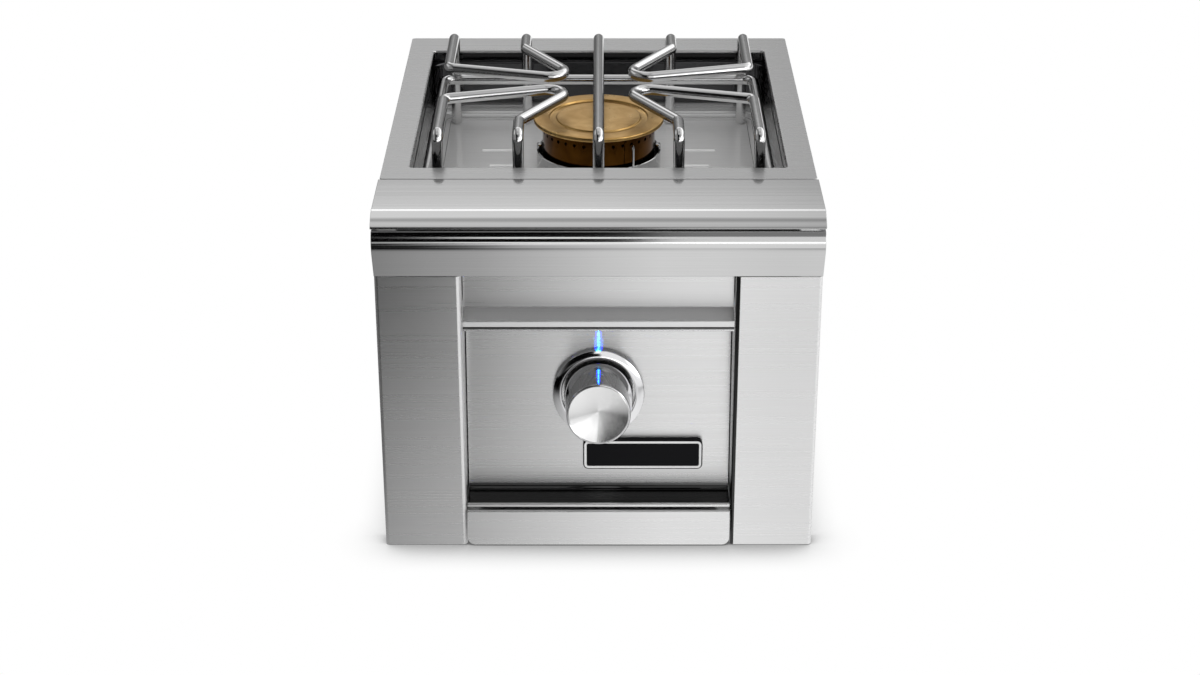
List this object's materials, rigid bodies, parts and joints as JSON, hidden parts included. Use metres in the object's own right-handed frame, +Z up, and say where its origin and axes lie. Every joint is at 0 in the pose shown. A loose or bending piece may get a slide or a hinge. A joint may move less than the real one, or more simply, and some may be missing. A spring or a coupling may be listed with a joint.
{
  "type": "built in side burner",
  "caption": "Covered brass gas burner in a sunken steel well under a lift-off grate of bent rod, with a front housing, a push-and-turn knob and a drip tray.",
  "frame": {"origin": "middle of the footprint, at the height of the feet", "axes": "+X to the right seen from the front, +Y from front to back, +Z up"},
  "size_m": [0.356, 0.4598, 0.3208],
  "materials": {
    "brushed_steel": "brushed stainless",
    "polished_steel": "polished stainless",
    "pan_steel": "bright rolled stainless",
    "casing_steel": "mill finish sheet",
    "brass_satin": "satin brass",
    "ceramic": "unglazed white",
    "black_plastic": "moulded",
    "wire_jacket": "silicone jacket",
    "blue_lens": "clear blue, lit",
    "plate_black": "black enamel"
  },
  "bodies": {
    "housing": {"bezel": "polished_steel", "burner_body": "brass_satin", "burner_cup": "pan_steel", "casing_back": "casing_steel", "casing_base": "casing_steel", "casing_left": "casing_steel", "casing_right": "casing_steel", "control_panel": "brushed_steel", "deck_plate": "brushed_steel", "electrode_bracket": "casing_steel", "electrode_ceramic": "ceramic", "electrode_tip": "polished_steel", "front_rail": "brushed_steel", "front_trim": "brushed_steel", "heat_shield": "casing_steel", "hood": "brushed_steel", "ignition_module": "black_plastic", "ignition_wire": "wire_jacket", "inlet_fitting": "brass_satin", "inlet_locknut": "brass_satin", "lamp_driver": "black_plastic", "lamp_holder": "black_plastic", "lamp_lens": "blue_lens", "lamp_wire": "wire_jacket", "name_plate": "plate_black", "orifice": "brass_satin", "pillar_left": "brushed_steel", "pillar_right": "brushed_steel", "runner_left": "casing_steel", "runner_right": "casing_steel", "supply_pipe": "casing_steel", "valve_body": "brass_satin", "valve_bonnet": "brass_satin", "valve_bracket": "casing_steel", "valve_screw_left": "polished_steel", "valve_screw_right": "polished_steel", "venturi_tube": "casing_steel", "well_pan": "pan_steel"},
    "valve_spindle": {"valve_plug": "brass_satin"},
    "knob_and_stem": {"knob": "polished_steel", "valve_stem": "polished_steel"},
    "air_shutter": {"air_shutter": "casing_steel"},
    "burner_cap": {"burner_cap": "brass_satin"},
    "grate": {"grate_ring": "polished_steel", "grate_centre_rod": "polished_steel", "grate_loop_front_left": "polished_steel", "grate_loop_front_right": "polished_steel", "grate_loop_rear_left": "polished_steel", "grate_loop_rear_right": "polished_steel"},
    "drip_tray": {"drip_tray": "brushed_steel"}
  },
  "joints": [
    {"name": "valve_turn", "type": "hinge", "parent": "housing", "child": "valve_spindle", "pos_m": [0, -0.17509, 0.126], "axis": [0, -0.9956, 0.0932], "range_deg": [0, 225]},
    {"name": "knob_push", "type": "slide", "parent": "valve_spindle", "child": "knob_and_stem", "axis": [0, 0.9956, -0.0932], "range_m": [0, 0.003], "stiffness_N_per_m": 1200, "springref_m": -0.004},
    {"name": "air_shutter_turn", "type": "hinge", "parent": "housing", "child": "air_shutter", "pos_m": [0, -0.1054, 0.11947], "axis": [0, -0.9956, 0.0932], "range_deg": [-45, 45]},
    {"name": "burner_cap_lift", "type": "slide", "parent": "housing", "child": "burner_cap", "axis": [0, 0, 1], "range_m": [0, 0.02]},
    {"name": "grate_lift", "type": "slide", "parent": "housing", "child": "grate", "axis": [0, 0, 1], "range_m": [0, 0.08]},
    {"name": "drip_tray_slide", "type": "slide", "parent": "housing", "child": "drip_tray", "axis": [0, -1, 0], "range_m": [0, 0.25]}
  ]
}
